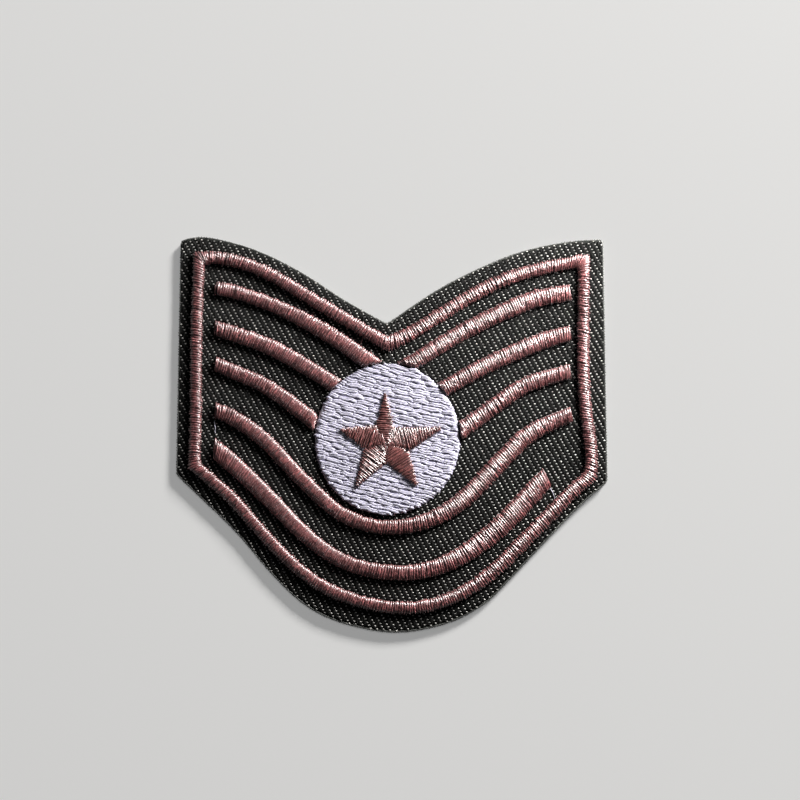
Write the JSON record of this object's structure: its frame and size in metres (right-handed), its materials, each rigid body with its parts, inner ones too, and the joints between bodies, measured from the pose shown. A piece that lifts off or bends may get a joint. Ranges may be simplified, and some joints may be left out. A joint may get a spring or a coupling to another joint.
{
  "type": "embroidered military patch",
  "caption": "Flat embroidered rank patch: dark twill cut to a notched shield outline, with curved satin-stitched stripes around a white disc that carries a star.",
  "frame": {"origin": "under the middle of the outline's box, on the flat back", "axes": "+Z out of the stitched face, +Y to the notched top of the design, +X to the right seen from the front"},
  "size_m": [0.076, 0.0704, 0.0025],
  "materials": {
    "ground_twill": "matt stiffened twill, near-black with a green cast",
    "rose_thread": "lustrous dusty-rose embroidery thread",
    "white_thread": "cool white embroidery thread",
    "star_thread": "lustrous rose-brown embroidery thread"
  },
  "bodies": {
    "root": {"ground_cloth": "ground_twill", "border_line": "rose_thread", "bar_left_1": "rose_thread", "bar_left_2": "rose_thread", "bar_left_3": "rose_thread", "bar_right_1": "rose_thread", "bar_right_2": "rose_thread", "bar_right_3": "rose_thread", "sweep_bar_1": "rose_thread", "sweep_bar_2": "rose_thread", "disc_fill": "white_thread", "star_point_top": "star_thread", "star_point_right": "star_thread", "star_point_lower_right": "star_thread", "star_point_lower_left": "star_thread", "star_point_left": "star_thread"}
  },
  "joints": []
}
